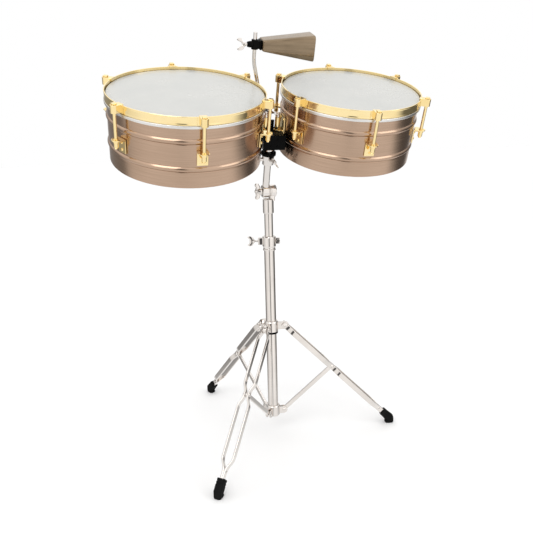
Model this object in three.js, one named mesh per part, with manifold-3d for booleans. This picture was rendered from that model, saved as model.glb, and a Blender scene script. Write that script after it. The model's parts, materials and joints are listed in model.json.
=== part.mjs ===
// Timbales: two tuned metal drums of 15 and 14 inches on one bracket, with a cowbell, on a folding
// tripod stand with a height tube and a tilter.
// Millimetres, +Z up, +X from the left drum to the right drum, player at -Y.
import * as THREE from "three";
import { mergeVertices } from "three/addons/utils/BufferGeometryUtils.js";
import Module from "manifold-3d";

const wasm = await Module();
wasm.setup();

// ---------------------------------------------------------------- driving dimensions
const INCH = 25.4;
const GAP = 0.4; // between pieces that touch
const DEG = Math.PI / 180;

// Stand. The tube's axis is X = Y = 0 and the floor is Z = 0.
const TUBE = { radius: 15, wall: 1.5, bottom: 57, top: 572 };
const INNER = { radius: 12, wall: 1.5, bottom: 200, top: 691 };
const FIRST_LEG_DEG = -9; // the leg that points to the right drum
const LEG = {
  pivotR: 40, pivotZ: 333, angle: 44.8 * DEG, // angle from straight down
  joint: 193, pinch: 391, end: 444, // distances along the leg from its pivot
  width: 15, thick: 5, spread: 15, // a strip's section, and the bowed strip's distance from the middle
};
const HUB = { top: 88, bottom: 55, pinR: 32, pinZ: 70, cheek: 4, forkWidth: 20 };
const COLLAR = { bottom: 312, top: 350, outer: 20, earWidth: 22, earThick: 10 };
const COLLAR_SCREW = { z: 331, angle: 171 * DEG };
const CLAMP = { bottom: 556, top: 596, outer: 19, boltZ: 582, angle: 164 * DEG };
const PIN_R = 3;
const WING = { shank: 0, shankRadius: PIN_R, hubRadius: 5.5, hub: 7, thick: 4, bore: 0 };
const BRACE = { width: 12, thick: 6 };
const FOOT = {
  start: 417, above: 11.5, below: 10.5, wide: 22, // distance along the leg, and reach either side of it
  heel: 343, toe: 368, // flat part of the sole, as distances from the stand's axis
};

// Tilter, and the head that leans on it: head coordinates start at the tilter's pivot.
const TILT = 20.4 * DEG;
const TILTER = { z: 721, radius: 17, split: 3, left: -17, right: 21, bolt: 4 };
const SLEEVE = { bottom: 660, top: 702, radius: 15.3 };
const POST = { x: -7, radius: 9.5, top: 118 };

// Drums, in head coordinates.
const SHELL_HEIGHT = 6.5 * INCH;
const SHELL_BOTTOM = 104;
const SHELL_WALL = 1.5;
const BEAD = { height: 3, width: 11, at: [47, 113.5] }; // heights above the shell's bottom edge
const DRUMS = [
  { side: "left", radius: (15 * INCH) / 2, x: -221, y: 17, turn: 1.7, mountFaces: 1 },
  { side: "right", radius: (14 * INCH) / 2, x: 209, y: 17, turn: -2.8, mountFaces: -1 },
];
const LUG_COUNT = 6;
const FLESH = { outer: 5.6, height: 8, film: 1 };
const HOOP = { height: 20.4, above: 8.3, inner: 1.9, outer: 4.8 }; // radii beyond the shell's
const ROD = { radius: 4, beyond: 18.8, bottom: 176, headAcross: 12, headHeight: 3.6 };
const CLAW = { top: 279.5, bottom: 260.5, width: 18, hook: 2.5 };
const LUG = { top: 199, bottom: 163, width: 26, sheet: 3, face: 0.7, nutRadius: 6, nutHeight: 16 };

// Bracket between the drums, in head coordinates.
const BLOCK = { front: -22, back: 45, bottom: 124, top: 166, reach: 40, clear: 4.7, wall: 6, pocket: 18 };
const RECEIVER = { radius: 15, bottom: 80, taper: [92, 104], flangeRadius: 20, flangeTop: 116 };
const RECEIVER_BOLT = { z: 100, angle: 10 * DEG, wingTurn: -56 * DEG, bossRadius: 7, bossEnd: 28 };
const STUD = { x: 16, y: 17, radius: 4, sleeveRadius: 7, sleeveTop: 203, top: 216 };
const MOUNT = { half: 20, bottom: 160, top: 207 };
const LEDGE = { top: 170.4, thick: 4, half: 13, beyond: 9 };

// Cowbell, in head coordinates.
const BELL_Y = 105;
const BEND = new THREE.Vector3(-33, BELL_Y, 317); // where the holder rod bends
const BELL_ROD = { radius: 4.75, lean: 14.3 * DEG, lower: 175, top: 392, soft: 14 };
const BELL = { heelX: -17, mouthX: 119, heel: [28, 45, 362], mouth: [66, 62, 357], wall: 1.8 };
const BELL_CLAMP = { left: -46, bottom: 350, top: 374, half: 12, bossRadius: 7.5, bossLength: 7 };
const HOLDER = {
  radius: 11, low: 112, high: 146, // barrel, as distances down the rod from its bend
  bossRadius: 6, bossEnd: 17, armHalf: 7, armRise: 8, // the screw's boss, and the arm's section
  plateHalf: 16, plateThick: 5, plateTop: 184, // the plate behind the box
};

// ---------------------------------------------------------------- materials
const material = (color, roughness, metalness) =>
  new THREE.MeshStandardMaterial({ color, roughness, metalness });
const CHROME = material(0xd8d6d4, 0.12, 1);
const GOLD = material(0xe6b94f, 0.18, 1);
const BRONZE = material(0x8c7460, 0.35, 1);
const BLACK = material(0x0d0d0e, 0.4, 0.3);
const RUBBER = material(0x0a0a0a, 0.8, 0);
const FILM = material(0xe4e4e2, 0.45, 0);

// ---------------------------------------------------------------- solids
function solidOf(geometry) {
  const bare = new THREE.BufferGeometry();
  const flat = geometry.index ? geometry.toNonIndexed() : geometry;
  bare.setAttribute("position", flat.getAttribute("position"));
  const merged = mergeVertices(bare, 1e-4);
  return new wasm.Manifold(new wasm.Mesh({
    numProp: 3,
    vertProperties: merged.attributes.position.array,
    triVerts: new Uint32Array(merged.index.array),
  }));
}

function geometryOf(solid) {
  const mesh = solid.getMesh();
  const geometry = new THREE.BufferGeometry();
  geometry.setAttribute("position", new THREE.BufferAttribute(mesh.vertProperties, 3));
  geometry.setIndex(new THREE.BufferAttribute(mesh.triVerts, 1));
  return geometry;
}

const join = (...shapes) => geometryOf(shapes.map(solidOf).reduce((a, b) => a.add(b)));
const cut = (shape, ...tools) =>
  geometryOf(tools.map(solidOf).reduce((a, b) => a.subtract(b), solidOf(shape)));

// A round bar along Z between two heights.
function bar(radius, low, high, sides = 16) {
  return new THREE.CylinderGeometry(radius, radius, high - low, sides)
    .rotateX(Math.PI / 2)
    .translate(0, 0, (low + high) / 2);
}

// The same bar along X or along Y.
const barX = (radius, low, high, sides) => bar(radius, low, high, sides).rotateY(Math.PI / 2);
const barY = (radius, low, high, sides) => bar(radius, low, high, sides).rotateX(-Math.PI / 2);

function block(x0, x1, y0, y1, z0, z1) {
  return new THREE.BoxGeometry(x1 - x0, y1 - y0, z1 - z0)
    .translate((x0 + x1) / 2, (y0 + y1) / 2, (z0 + z1) / 2);
}

// A closed ring or disc turned about Z from [radius, height] points that run anticlockwise.
function turned(points, sides) {
  const profile = points.map(([r, z]) => new THREE.Vector2(r, z));
  return new THREE.LatheGeometry([...profile, profile[0]], sides).rotateX(Math.PI / 2);
}

// A plate drawn in the X-Z plane and centred on Y = 0.
function plateXZ(shape, thick, curveSegments = 4) {
  return new THREE.ExtrudeGeometry(shape, { depth: thick, bevelEnabled: false, curveSegments })
    .rotateX(Math.PI / 2)
    .translate(0, thick / 2, 0);
}

// A bar with round ends between two points of the X-Z plane.
function link(x0, z0, x1, z1, width, thick) {
  const along = Math.atan2(z1 - z0, x1 - x0);
  const length = Math.hypot(x1 - x0, z1 - z0);
  const shape = new THREE.Shape();
  shape.absarc(0, 0, width / 2, Math.PI / 2, 1.5 * Math.PI);
  shape.absarc(length, 0, width / 2, -Math.PI / 2, Math.PI / 2);
  return plateXZ(shape, thick).rotateY(-along).translate(x0, 0, z0);
}

// ---------------------------------------------------------------- scene graph
function group(name, parent, x = 0, y = 0, z = 0) {
  const made = new THREE.Group();
  made.name = name;
  made.position.set(x, y, z);
  parent.add(made);
  return made;
}

function piece(name, parent, geometry, look) {
  const mesh = new THREE.Mesh(geometry, look);
  mesh.name = name;
  parent.add(mesh);
  return mesh;
}

// Turns a piece drawn along Z to point away from the stand's axis, in the direction of an angle about it.
const outward = (angle) => new THREE.Euler(0, Math.PI / 2, angle, "ZYX");

// A wing screw or wing nut: its axis is Z, its head starts at `start`, and a shank runs below the head.
function wing(options) {
  const { start, span, tall, shank, shankRadius, hubRadius, hub, thick, bore } = { ...WING, ...options };
  const outline = new THREE.Shape();
  const half = span / 2;
  outline.moveTo(-4, 0);
  outline.lineTo(4, 0);
  outline.quadraticCurveTo(half * 0.95, tall * 0.1, half, tall * 0.62);
  outline.quadraticCurveTo(half, tall, half * 0.66, tall);
  outline.quadraticCurveTo(half * 0.34, tall * 0.9, 4, tall * 0.42);
  outline.lineTo(-4, tall * 0.42);
  outline.quadraticCurveTo(-half * 0.34, tall * 0.9, -half * 0.66, tall);
  outline.quadraticCurveTo(-half, tall, -half, tall * 0.62);
  outline.quadraticCurveTo(-half * 0.95, tall * 0.1, -4, 0);
  const wings = plateXZ(outline, thick, 4).translate(0, 0, start + hub * 0.3);
  const parts = [wings, bar(hubRadius, start, start + hub, 12)];
  if (shank > 0) parts.push(bar(shankRadius, start - shank, start + 0.5, 12));
  const whole = join(...parts);
  return bore > 0 ? cut(whole, bar(bore, start - 1, start + tall * 2, 12)) : whole;
}

// ---------------------------------------------------------------- stand
const stand = new THREE.Group();

function outerTube() {
  const { radius, wall, bottom, top } = TUBE;
  return turned([[radius - wall, bottom], [radius, bottom], [radius, top], [radius - wall, top]], 24);
}

function innerTube() {
  const { radius, wall, bottom, top } = INNER;
  return turned([[radius - wall, bottom], [radius, bottom], [radius, top], [radius - wall, top]], 24);
}

const LEG_ANGLES = [0, 1, 2].map((k) => (FIRST_LEG_DEG + 120 * k) * DEG);

// The base hub: a ring under the tube with three forks, each holding a pin for a brace.
function baseHub() {
  const ring = turned([[TUBE.radius + GAP, HUB.bottom], [COLLAR.outer, HUB.bottom],
    [COLLAR.outer, HUB.top], [TUBE.radius + GAP, HUB.top]], 24);
  const cheek = BRACE.thick / 2 + GAP;
  const forks = LEG_ANGLES.flatMap((angle) => [
    ...[-1, 1].map((side) =>
      link(TUBE.radius + 1.5, HUB.pinZ, HUB.pinR, HUB.pinZ, HUB.forkWidth, HUB.cheek)
        .translate(0, side * (cheek + HUB.cheek / 2), 0).rotateZ(angle)),
    barY(PIN_R, -cheek - 5.5, cheek + 5.5, 12).translate(HUB.pinR, 0, HUB.pinZ).rotateZ(angle),
  ]);
  return cut(join(ring, ...forks), bar(TUBE.radius + GAP, HUB.bottom - 5, HUB.top + 5, 24));
}

// The sliding collar: a ring with three ears that the legs hang from, and a boss for its wing screw.
function legCollar() {
  const ring = turned([[TUBE.radius + GAP, COLLAR.bottom], [COLLAR.outer, COLLAR.bottom],
    [COLLAR.outer, COLLAR.top], [TUBE.radius + GAP, COLLAR.top]], 24);
  const ears = LEG_ANGLES.map((angle) =>
    link(TUBE.radius + 1, LEG.pivotZ, LEG.pivotR, LEG.pivotZ, COLLAR.earWidth, COLLAR.earThick)
      .rotateZ(angle));
  const boss = barX(6.5, 17, 26, 12).translate(0, 0, COLLAR_SCREW.z).rotateZ(COLLAR_SCREW.angle);
  const thread = barX(PIN_R + GAP, 10, 30, 12).translate(0, 0, COLLAR_SCREW.z).rotateZ(COLLAR_SCREW.angle);
  const tubeBore = bar(TUBE.radius + GAP, COLLAR.bottom - 5, COLLAR.top + 5, 24);
  return cut(join(ring, ...ears, boss), tubeBore, thread);
}

// One bowed strip of a leg, drawn from above the leg: distance along it against distance from its middle.
function legStrip(side) {
  const half = LEG.thick / 2;
  const atPivot = COLLAR.earThick / 2 + GAP + half; // outside the collar's ear
  const atJoint = BRACE.thick / 2 + 0.5 + half; // outside the brace
  const atFoot = half - 0.1; // the strips meet
  const line = [
    [-9, atPivot], [11, atPivot], [27, LEG.spread], [LEG.joint - 28, LEG.spread], [LEG.joint - 12, atJoint],
    [LEG.joint + 12, atJoint], [LEG.joint + 28, LEG.spread],
    [LEG.pinch - 22, LEG.spread], [LEG.pinch, atFoot],
    [LEG.end, atFoot],
  ];
  const shape = new THREE.Shape();
  line.forEach(([s, w], i) => shape[i ? "lineTo" : "moveTo"](s, side * (w + half)));
  [...line].reverse().forEach(([s, w]) => shape.lineTo(s, side * (w - half)));
  return new THREE.ExtrudeGeometry(shape, { depth: LEG.width, bevelEnabled: false })
    .translate(0, 0, -LEG.width / 2);
}

// A leg along +X from its pivot: two strips, the brace's rivet, and rivet heads at the collar's ear.
function leg() {
  const atEar = COLLAR.earThick / 2 + GAP + LEG.thick;
  const atBrace = BRACE.thick / 2 + 0.5 + LEG.thick;
  const head = (s, out) => barY(5, -1.6, 1.6, 12).translate(s, out, 0);
  return join(
    legStrip(1), legStrip(-1),
    barY(PIN_R, -atBrace, atBrace, 12).translate(LEG.joint, 0, 0),
    ...[-1, 1].flatMap((side) => [head(0, side * (atEar + 1)), head(LEG.joint, side * (atBrace + 1))]),
  );
}

// A rubber boot in the leg's upright plane: X is the distance from the stand's axis.
function foot() {
  const along = new THREE.Vector2(Math.sin(LEG.angle), -Math.cos(LEG.angle));
  const across = new THREE.Vector2(Math.cos(LEG.angle), Math.sin(LEG.angle));
  const top = new THREE.Vector2(LEG.pivotR, LEG.pivotZ).addScaledVector(along, FOOT.start);
  const upper = top.clone().addScaledVector(across, FOOT.above);
  const lower = top.clone().addScaledVector(across, -FOOT.below);
  const shape = new THREE.Shape();
  shape.moveTo(upper.x, upper.y);
  shape.lineTo(lower.x, lower.y);
  shape.quadraticCurveTo(FOOT.heel - 13, 4, FOOT.heel, 0);
  shape.lineTo(FOOT.toe, 0);
  shape.quadraticCurveTo(FOOT.toe + 10, 3, FOOT.toe + 5, 12);
  shape.lineTo(upper.x, upper.y);
  const deep = LEG.thick + GAP;
  const high = LEG.width / 2 + GAP;
  const socket = block(FOOT.start - 5, LEG.end + GAP, -deep, deep, -high, high)
    .rotateY(Math.PI / 2 - LEG.angle)
    .translate(LEG.pivotR, 0, LEG.pivotZ);
  return cut(plateXZ(shape, FOOT.wide, 5), socket);
}

// A brace from its hub pin to the leg's joint, drawn from the pin.
function brace() {
  const x = LEG.pivotR + LEG.joint * Math.sin(LEG.angle) - HUB.pinR;
  const z = LEG.pivotZ - LEG.joint * Math.cos(LEG.angle) - HUB.pinZ;
  const holes = [[0, 0], [x, z]].map(([hx, hz]) => barY(PIN_R + GAP, -5, 5, 12).translate(hx, 0, hz));
  return cut(link(0, 0, x, z, BRACE.width, BRACE.thick), ...holes);
}

// The clamp at the tube's top: it grips the inner tube with a wing bolt through its boss.
function tubeClamp() {
  const { bottom, top, outer, boltZ, angle } = CLAMP;
  const [inTube, inInner] = [TUBE.radius + GAP, INNER.radius + GAP];
  const shoulder = TUBE.top + GAP;
  const body = turned([[inTube, bottom], [outer, bottom], [outer, top], [inInner, top], [inInner, shoulder],
    [inTube, shoulder]], 24);
  const boss = block(TUBE.radius, 31, -8, 8, boltZ - 10, boltZ + 10).rotateZ(angle);
  const ear = block(-30, -TUBE.radius, -6, 6, boltZ - 8, boltZ + 9).rotateZ(angle);
  const bore = bar(inInner, shoulder, top + 5, 24);
  const lower = bar(inTube, bottom - 5, shoulder, 24);
  const thread = barX(PIN_R + GAP, 10, 35, 12).translate(0, 0, boltZ).rotateZ(angle);
  return cut(join(body, boss, ear), bore, lower, thread);
}

// The tilter's lower half: a sleeve on the inner tube, an arm beside the pivot, and the pivot bolt.
function tilterBase() {
  const sleeve = turned([[INNER.radius + GAP, SLEEVE.bottom], [SLEEVE.radius, SLEEVE.bottom],
    [SLEEVE.radius, SLEEVE.top], [0, SLEEVE.top],
    [0, INNER.top + GAP], [INNER.radius + GAP, INNER.top + GAP]], 24);
  const near = TILTER.split + GAP;
  const arm = block(near, TILTER.right - 4, -11, 11, SLEEVE.top - 8, TILTER.z);
  const disc = barX(TILTER.radius, near, TILTER.right, 24).translate(0, 0, TILTER.z);
  const bolt = barX(TILTER.bolt, TILTER.left - 20, near + 1, 12).translate(0, 0, TILTER.z);
  return join(sleeve, arm, disc, bolt);
}

// The tilter's upper half with the post that carries the drums, in head coordinates.
function tilterHead() {
  const disc = barX(TILTER.radius, TILTER.left, TILTER.split, 24);
  const post = bar(POST.radius, 8, POST.top, 20).translate(POST.x, 0, 0);
  return cut(join(disc, post), barX(TILTER.bolt + GAP, TILTER.left - 5, TILTER.split + 5, 12));
}

piece("outer_tube", stand, outerTube(), CHROME);
piece("base_hub", stand, baseHub(), CHROME);
piece("tube_clamp", stand, tubeClamp(), CHROME);

const collar = group("legs_fold", stand);
piece("leg_collar", collar, legCollar(), CHROME);
const collarScrew = group("collar_screw_turn", collar, 0, 0, COLLAR_SCREW.z);
collarScrew.rotation.copy(outward(COLLAR_SCREW.angle));
piece("collar_wing_screw", collarScrew, wing({ start: 28, span: 26, tall: 13, shank: 11 }), CHROME);

LEG_ANGLES.forEach((angle, k) => {
  const side = group("", stand);
  side.rotation.z = angle;
  const pivot = group(`leg_${k + 1}_pivot`, side, LEG.pivotR, 0, LEG.pivotZ);
  piece(`leg_${k + 1}`, pivot, leg(), CHROME).rotation.y = Math.PI / 2 - LEG.angle;
  piece(`foot_${k + 1}`, side, foot(), RUBBER);
  const pin = group(`brace_${k + 1}_pivot`, side, HUB.pinR, 0, HUB.pinZ);
  piece(`brace_${k + 1}`, pin, brace(), CHROME);
});

const clampBolt = group("clamp_bolt_turn", stand, 0, 0, CLAMP.boltZ);
clampBolt.rotation.copy(outward(CLAMP.angle));
piece("clamp_wing_bolt", clampBolt, wing({ start: 40, span: 28, tall: 18, shank: 18 }), CHROME);

const mast = group("height", stand);
piece("inner_tube", mast, innerTube(), CHROME);
const swivel = group("head_swivel", mast);
piece("tilter_base", swivel, tilterBase(), CHROME);

// ---------------------------------------------------------------- head: everything that leans with the tilter
const head = group("tilt", swivel, 0, 0, TILTER.z);
head.rotation.x = TILT;
piece("tilter_head", head, tilterHead(), CHROME);

const tilterNut = group("tilter_nut_turn", head);
tilterNut.rotation.y = -Math.PI / 2;
piece("tilter_wing_nut", tilterNut, wing({
  start: -TILTER.left + GAP, span: 44, tall: 16, hubRadius: 9, hub: 13, thick: 6, bore: TILTER.bolt + GAP,
}), CHROME);

const drums = group("drums_lift", head);

const SHELL_TOP = SHELL_BOTTOM + SHELL_HEIGHT;
const HOOP_TOP = SHELL_TOP + HOOP.above;
const HOOP_BOTTOM = HOOP_TOP - HOOP.height;
const ROUND = 30; // sides of a drum
const PLAYER = -90; // degrees: the first lug faces the player

// A drum shell: thin wall, two raised beads, edges turned in. Profile radii count from the shell's own.
function shell(radius) {
  const bead = (at) => [[-0.5, 0], [-0.2, 1], [0.2, 1], [0.5, 0]].map(([t, rise]) =>
    [BEAD.height * rise, SHELL_BOTTOM + at + BEAD.width * t]);
  const wall = [...BEAD.at.flatMap(bead), [0, SHELL_TOP - 3], [-4, SHELL_TOP]];
  const outer = [[-5, SHELL_BOTTOM], [0, SHELL_BOTTOM], ...wall];
  const inner = [[-5, SHELL_BOTTOM + SHELL_WALL], [-SHELL_WALL, SHELL_BOTTOM + SHELL_WALL],
    ...wall.map(([r, z]) => [r - SHELL_WALL, z])];
  return turned([...outer, ...inner.reverse()].map(([r, z]) => [radius + r, z]), ROUND);
}

// A drum head: a film over the shell's top edge, with its collar and flesh hoop outside the shell.
function drumHead(radius) {
  const [under, over] = [SHELL_TOP + GAP, SHELL_TOP + GAP + FLESH.film];
  const [inside, outside] = [radius + GAP, radius + FLESH.outer];
  const [low, high] = [HOOP_BOTTOM - FLESH.height, HOOP_BOTTOM - GAP];
  return turned([
    [0, under], [inside, under], [inside, low], [outside, low], [outside, high],
    [inside + FLESH.film, high], [inside + FLESH.film, over], [0, over],
  ], ROUND);
}

const lugAngles = (drum) =>
  [...Array(LUG_COUNT).keys()].map((k) => (PLAYER + drum.turn + (360 / LUG_COUNT) * k) * DEG);

// The counter hoop with its six claws, each bored for a tension rod.
function hoop(drum) {
  const [r0, r1] = [drum.radius + HOOP.inner, drum.radius + HOOP.outer];
  const rodR = drum.radius + ROD.beyond;
  const ring = turned([[r0, HOOP_BOTTOM], [r1, HOOP_BOTTOM], [r1, HOOP_TOP], [r0, HOOP_TOP]], ROUND);
  const half = CLAW.width / 2;
  const claws = lugAngles(drum).map((angle) => join(
    block(r1 - 1, rodR, -half, half, CLAW.bottom, CLAW.top),
    block(r0 - CLAW.hook, r1, -half, half, HOOP_TOP - 0.5, CLAW.top),
    bar(half, CLAW.bottom, CLAW.top, 12).translate(rodR, 0, 0),
  ).rotateZ(angle));
  const bores = lugAngles(drum).map((angle) =>
    bar(ROD.radius + GAP, CLAW.bottom - 5, CLAW.top + 5, 8).translate(rodR, 0, 0).rotateZ(angle));
  return cut(join(ring, ...claws), ...bores);
}

// A tension rod along Z: a long bolt with a flat square head.
function tensionRod() {
  const side = ROD.headAcross / 2;
  return join(bar(ROD.radius, ROD.bottom, CLAW.top + 1, 8),
    block(-side, side, -side, side, CLAW.top + GAP, CLAW.top + ROD.headHeight));
}

// A lug: a bent plate on the shell, with a ledge that holds the rod's nut. X points out of the drum.
function lug() {
  const rodX = ROD.beyond;
  const half = LUG.width / 2;
  const under = LUG.top - LUG.sheet;
  const plate = block(LUG.face, LUG.face + LUG.sheet, -half, half, LUG.bottom, LUG.top);
  const ledge = block(LUG.face, rodX, -half, half, under, LUG.top);
  const end = bar(half - 2, under, LUG.top, 12).translate(rodX, 0, 0);
  const nut = bar(LUG.nutRadius, under - LUG.nutHeight, LUG.top - 1, 8).translate(rodX, 0, 0);
  const bore = bar(ROD.radius + GAP, LUG.bottom - 5, LUG.top + 5, 8).translate(rodX, 0, 0);
  return cut(join(plate, ledge, end, nut), bore);
}

// The gold plate that joins a drum to the bracket: upright on the shell, with a ledge for the stud.
function drumMount(drum) {
  const ordered = (a, b) => [Math.min(a, b), Math.max(a, b)];
  const wall = drum.x + drum.mountFaces * (drum.radius + GAP);
  const [x0, x1] = ordered(wall, wall + drum.mountFaces * LUG.sheet);
  const studX = -drum.mountFaces * STUD.x;
  const [l0, l1] = ordered(wall, studX + drum.mountFaces * LEDGE.beyond);
  const plate = block(x0, x1, STUD.y - MOUNT.half, STUD.y + MOUNT.half, MOUNT.bottom, MOUNT.top);
  const ledge = block(l0, l1, STUD.y - LEDGE.half, STUD.y + LEDGE.half, LEDGE.top - LEDGE.thick, LEDGE.top);
  const bore = bar(STUD.radius + GAP, LEDGE.top - 20, LEDGE.top + 10, 12).translate(studX, STUD.y, 0);
  return cut(join(plate, ledge), bore);
}

DRUMS.forEach((drum) => {
  const at = group("", drums, drum.x, drum.y, 0);
  piece(`${drum.side}_shell`, at, shell(drum.radius), BRONZE);
  piece(`${drum.side}_head`, at, drumHead(drum.radius), FILM);
  piece(`${drum.side}_hoop`, at, hoop(drum), GOLD);
  lugAngles(drum).forEach((angle, k) => {
    const spoke = group("", at);
    spoke.rotation.z = angle;
    const onShell = group("", spoke, drum.radius, 0, 0);
    piece(`${drum.side}_lug_${k + 1}`, onShell, lug(), GOLD);
    const turn = group(`${drum.side}_rod_${k + 1}_turn`, spoke, drum.radius + ROD.beyond, 0, 0);
    piece(`${drum.side}_rod_${k + 1}`, turn, tensionRod(), GOLD);
  });
  piece(`${drum.side}_mount_plate`, drums, drumMount(drum), GOLD);
  const nut = group(`${drum.side}_mount_nut_turn`, drums, -drum.mountFaces * STUD.x, STUD.y, 0);
  piece(`${drum.side}_mount_wing_nut`, nut, wing({
    start: STUD.sleeveTop + GAP, span: 20, tall: 12, hubRadius: 6.5, hub: 7, bore: STUD.radius + GAP,
  }), CHROME);
});

// ---------------------------------------------------------------- bracket
// Points on the lower, leaning part of the cowbell's rod: `down` is the distance from the bend.
const rodPoint = (down) => BEND.clone().add(
  new THREE.Vector3(Math.sin(BELL_ROD.lean) * down, 0, -Math.cos(BELL_ROD.lean) * down));

function alongRod(geometry, down) {
  const at = rodPoint(down);
  return geometry.rotateY(-BELL_ROD.lean).translate(at.x, at.y, at.z);
}

const holderMiddle = rodPoint((HOLDER.low + HOLDER.high) / 2);

// The black box between the drums, closed in front and open behind, and the receiver under it.
function bracketBody() {
  const { front, back, bottom, top, reach, wall, pocket } = BLOCK;
  const hugs = DRUMS.map((drum) =>
    bar(drum.radius + BLOCK.clear, bottom - 20, top + 20, 72).translate(drum.x, drum.y, 0));
  const inside = block(-pocket, pocket, front + wall, back + 5, bottom + wall, top - wall);
  const box = cut(block(-reach, reach, front, back, bottom, top), ...hugs, inside);
  const { radius, flangeRadius, flangeTop, taper } = RECEIVER;
  const receiver = turned([[0, RECEIVER.bottom], [radius, RECEIVER.bottom], [radius, taper[0]],
    [flangeRadius, taper[1]], [flangeRadius, flangeTop], [radius, flangeTop],
    [radius, bottom + 1], [0, bottom + 1]], 20);
  const boss = barY(RECEIVER_BOLT.bossRadius, -RECEIVER_BOLT.bossEnd, -10, 12)
    .rotateZ(RECEIVER_BOLT.angle)
    .translate(0, 0, RECEIVER_BOLT.z);
  return join(box, join(receiver, boss).translate(POST.x, 0, 0));
}

// The cowbell's holder: a plate behind the box, an arm, and a barrel round the rod with a screw boss.
function bellHolder() {
  const { radius, low, high, bossRadius, bossEnd, armHalf, armRise, plateHalf, plateTop } = HOLDER;
  const { x, z } = holderMiddle;
  const behind = BLOCK.back + HOLDER.plateThick;
  const plate = block(-plateHalf, plateHalf, BLOCK.back - 1, behind, BLOCK.bottom + 3, plateTop);
  const arm = block(x - armHalf, x + armHalf, behind - 1, BELL_Y - 6, z - armRise, z + armRise);
  const half = (high - low) / 2;
  return join(plate, arm, alongRod(bar(radius, -half, half, 16), low + half),
    barX(bossRadius, 6, bossEnd, 12).translate(x, BELL_Y, z));
}

// The whole bracket: body, holder and the two clamping studs in their sleeves, bored for all that goes in.
function centerBracket() {
  const studs = [-1, 1].flatMap((side) => [
    bar(STUD.radius, BLOCK.top - 3, STUD.top, 12).translate(side * STUD.x, STUD.y, 0),
    bar(STUD.sleeveRadius, LEDGE.top + GAP, STUD.sleeveTop, 16).translate(side * STUD.x, STUD.y, 0),
  ]);
  const rodBore = alongRod(bar(BELL_ROD.radius + GAP, -40, 40, 12), (HOLDER.low + HOLDER.high) / 2);
  const postBore = bar(POST.radius + GAP, RECEIVER.bottom - 5, POST.top + GAP, 20).translate(POST.x, 0, 0);
  const boltBore = barY(PIN_R + GAP, -30, -5, 12)
    .rotateZ(RECEIVER_BOLT.angle)
    .translate(POST.x, 0, RECEIVER_BOLT.z);
  const screwBore = barX(PIN_R + GAP, 0, 20, 12).translate(holderMiddle.x, BELL_Y, holderMiddle.z);
  return cut(join(bracketBody(), bellHolder(), ...studs), rodBore, postBore, boltBore, screwBore);
}

piece("center_bracket", drums, centerBracket(), BLACK);

const receiverBolt = group("receiver_bolt_turn", drums, POST.x, 0, RECEIVER_BOLT.z);
receiverBolt.rotation.copy(new THREE.Euler(Math.PI / 2, 0, RECEIVER_BOLT.angle, "ZYX"));
piece("receiver_wing_bolt", receiverBolt,
  wing({ start: 36, span: 26, tall: 15, shank: 23 }).rotateZ(RECEIVER_BOLT.wingTurn), CHROME);

// ---------------------------------------------------------------- cowbell
// The rod: a leaning lower part in the holder, a bend, and an upright part that the bell hangs on.
function bellRod() {
  const path = new THREE.CurvePath();
  const low = rodPoint(BELL_ROD.lower);
  const before = rodPoint(BELL_ROD.soft);
  const after = BEND.clone().add(new THREE.Vector3(0, 0, BELL_ROD.soft));
  path.add(new THREE.LineCurve3(low, before));
  path.add(new THREE.QuadraticBezierCurve3(before, BEND, after));
  path.add(new THREE.LineCurve3(after, new THREE.Vector3(BEND.x, BELL_Y, BELL_ROD.top)));
  const section = new THREE.Shape().absarc(0, 0, BELL_ROD.radius, 0, 2 * Math.PI);
  const settings = { steps: 18, curveSegments: 6, extrudePath: path, bevelEnabled: false };
  return new THREE.ExtrudeGeometry(section, settings);
}

// A loft along X between two rounded rectangles given as [height, depth, middle height].
function bellLoft(x0, x1, from, to, inset) {
  const corner = 0.28;
  const ring = ([tall, deep, middle], x) => {
    const a = tall / 2 - inset;
    const b = deep / 2 - inset;
    const points = [];
    for (let quarter = 0; quarter < 4; quarter++) {
      for (let step = 0; step < 4; step++) {
        const t = (quarter + step / 3) * (Math.PI / 2);
        const sx = Math.sign(Math.cos((quarter + 0.5) * (Math.PI / 2)));
        const sz = Math.sign(Math.sin((quarter + 0.5) * (Math.PI / 2)));
        const r = corner * a * 2;
        const [y, z] = [sx * (b - r) + r * Math.cos(t), middle + sz * (a - r) + r * Math.sin(t)];
        points.push(new THREE.Vector3(x, y, z));
      }
    }
    return points;
  };
  const rings = [ring(from, x0), ring(to, x1)];
  const count = rings[0].length;
  const positions = rings.flat().flatMap((p) => [p.x, p.y, p.z]);
  const faces = [];
  for (let i = 0; i < count; i++) {
    const j = (i + 1) % count;
    faces.push(i, j, count + j, i, count + j, count + i);
  }
  for (let i = 1; i < count - 1; i++) {
    faces.push(0, i + 1, i, count, count + i, count + i + 1);
  }
  const geometry = new THREE.BufferGeometry();
  geometry.setAttribute("position", new THREE.Float32BufferAttribute(positions, 3));
  geometry.setIndex(faces);
  return geometry.translate(0, BELL_Y, 0);
}

function cowbell() {
  const outer = bellLoft(BELL.heelX, BELL.mouthX, BELL.heel, BELL.mouth, 0);
  const inner = bellLoft(BELL.heelX + 2.5, BELL.mouthX + 1, BELL.heel, BELL.mouth, BELL.wall);
  return cut(outer, inner);
}

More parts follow.
